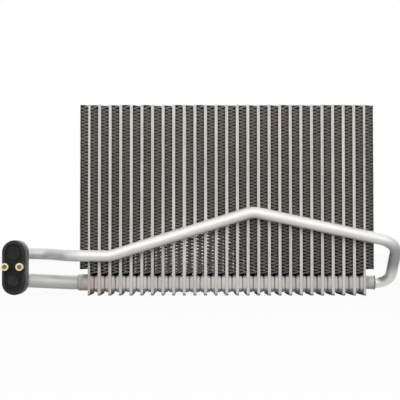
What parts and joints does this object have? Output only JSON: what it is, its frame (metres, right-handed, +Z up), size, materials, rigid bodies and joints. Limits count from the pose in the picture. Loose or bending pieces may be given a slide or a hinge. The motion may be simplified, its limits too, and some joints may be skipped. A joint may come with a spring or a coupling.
{
  "type": "evaporator core",
  "caption": "Brazed evaporator core: stacked plate tubes with folded air fins on two header rows, a crossing liquid pipe, a suction pipe and a capped connection block.",
  "frame": {"origin": "middle of the whole part's plan, level with the feet of the plates", "axes": "+X to the right along the stack of tubes, +Y back through the core with the air, +Z up"},
  "size_m": [0.439, 0.079, 0.21],
  "materials": {
    "plate": "satin, as brazed",
    "fin": "satin, as brazed",
    "pipe": "smooth drawn tube",
    "block": "machined",
    "cap": "moulded",
    "screw": "yellow zinc plated"
  },
  "bodies": {
    "root": {"tube_01": "plate", "tube_02": "plate", "tube_03": "plate", "tube_04": "plate", "tube_05": "plate", "tube_06": "plate", "tube_07": "plate", "tube_08": "plate", "tube_09": "plate", "tube_10": "plate", "tube_11": "plate", "tube_12": "plate", "tube_13": "plate", "tube_14": "plate", "tube_15": "plate", "tube_16": "plate", "tube_17": "plate", "tube_18": "plate", "tube_19": "plate", "tube_20": "plate", "tube_21": "plate", "tube_22": "plate", "tube_23": "plate", "tube_24": "plate", "tube_25": "plate", "tube_26": "plate", "tube_27": "plate", "fin_01": "fin", "fin_02": "fin", "fin_03": "fin", "fin_04": "fin", "fin_05": "fin", "fin_06": "fin", "fin_07": "fin", "fin_08": "fin", "fin_09": "fin", "fin_10": "fin", "fin_11": "fin", "fin_12": "fin", "fin_13": "fin", "fin_14": "fin", "fin_15": "fin", "fin_16": "fin", "fin_17": "fin", "fin_18": "fin", "fin_19": "fin", "fin_20": "fin", "fin_21": "fin", "fin_22": "fin", "fin_23": "fin", "fin_24": "fin", "fin_25": "fin", "fin_26": "fin", "fin_27": "fin", "fin_28": "fin", "liquid_pipe": "pipe", "suction_pipe": "pipe", "connection_block": "block", "transport_cap": "cap", "cap_screws": "screw"}
  },
  "joints": []
}
